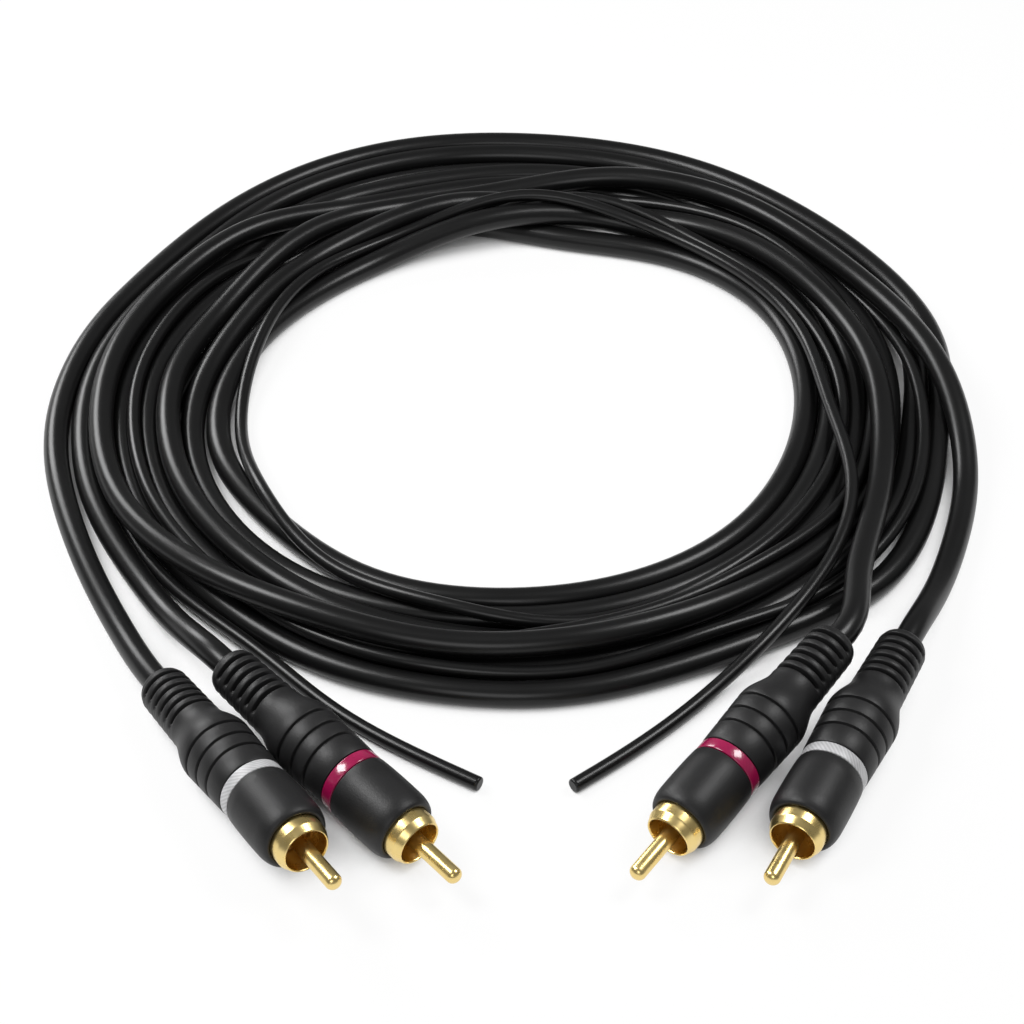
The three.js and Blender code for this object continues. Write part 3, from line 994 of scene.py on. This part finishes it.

# %% [markdown]
# ## What the cords replace
# A cord is one unbroken piece from plug to plug, while its solids are two leads and the coil
# that all three share. Each cord is listed with its near end, the plug at its far end, its
# thickness and the solids that it replaces, and these solids are hidden. Its real length was
# kept on it as it was made.

declared = {
    "white_cord": (
        "white_left", "white_right", cord_diameter, ["white_left_lead", "white_right_lead", "coil"]
    ),
    "red_cord": ("red_left", "red_right", cord_diameter, ["red_left_lead", "red_right_lead"]),
    "remote_wire": ("wire_left", None, wire_diameter, ["remote_wire_left", "remote_wire_right"]),
}
for cord, (near_end, far_plug, thickness, solids) in declared.items():
    piece = cords[cord]
    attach(piece, "root")
    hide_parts(*solids)

# %% [markdown]
# ## Floor and light
# The photograph is cut out on white. A white floor gives that, if the camera and the mirrored
# rays see it nearly white by itself while it still takes the object's shadow. Its own white
# glow fades where the cords stand close round it, a painted shade from ambient occlusion that
# keeps the crevices between them dark. Two soft lamps stand above the coil at its left and
# right, and draw the narrow highlights along the cords. One from behind on the left edges them,
# a weak one fills the front, and the surround is an even pale grey.

# %% Floor
bpy.ops.object.select_all(action="DESELECT")
bpy.ops.mesh.primitive_plane_add(size=8, location=(0, 0.1, 0))
floor = bpy.context.object
floor.name = floor.data.name = "floor"
paper = Finish("white_paper", Roughness=0.9, Specular_IOR_Level=0.0)
fibre = paper.speckle(900, 2)
paper.set(Base_Color=paper.blend(fibre, (0.8, 0.8, 0.8, 1), (0.82, 0.82, 0.82, 1)))
camera_ray = paper.node("ShaderNodeLightPath", output="Is Camera Ray")
mirror_ray = paper.node("ShaderNodeLightPath", output="Is Glossy Ray")
clear_ray = paper.node("ShaderNodeLightPath", output="Is Transmission Ray")
white_light = paper.node("ShaderNodeEmission", None, {"Color": (1, 1, 1, 1), "Strength": 1.0})
# Painted shade: the floor's own white glow fades where ambient occlusion finds the cords close
# round it, so the crevices between them go dark.
occlusion_for_painted_shade = paper.node("ShaderNodeAmbientOcclusion", {"samples": 8}, {"Distance": 0.03}, "AO")
glow_outside_painted_shade = paper.band(occlusion_for_painted_shade, 0.12, 0.5)
share = (camera_ray + mirror_ray + clear_ray) * (glow_outside_painted_shade * 0.9)
plain_paper = Signal(paper, paper.shader.outputs[0])
mixed = paper.node("ShaderNodeMixShader", None, {0: share, 1: plain_paper, 2: white_light})
paper.links.new(mixed.socket, paper.output.inputs["Surface"])
floor.data.materials.append(paper.material)
print("floor", [round(side, 1) for side in floor.dimensions], "m")

# %% Surround and lamps
world = bpy.data.worlds.new("surround")
bpy.context.scene.world = world
world.use_nodes = True
surround = world.node_tree.nodes["Background"]
surround.inputs["Color"].default_value = (1, 1, 1, 1)
surround.inputs["Strength"].default_value = 0.2


def softbox(name, location, aim, size, power):
    """A square soft lamp that looks at a point."""
    light = bpy.data.lights.new(name, "AREA")
    light.shape, light.size, light.energy = "SQUARE", size, power
    lamp = bpy.data.objects.new(name, light)
    bpy.context.scene.collection.objects.link(lamp)
    lamp.location = location
    lamp.rotation_euler = (Vector(aim) - Vector(location)).to_track_quat("-Z", "Y").to_euler()


softbox("left_above", (-0.3, 0.08, 0.42), (0, 0.09, 0), 0.2, 1.9)
softbox("right_above", (0.28, 0.1, 0.42), (0, 0.09, 0), 0.18, 1.3)
softbox("left_behind", (-0.5, 0.62, 0.36), (0, 0.08, 0), 0.3, 2.8)
softbox("front_fill", (-0.1, -0.8, 0.6), (0, 0.05, 0), 0.4, 1.6)
bpy.context.scene.view_settings.view_transform = "Standard"
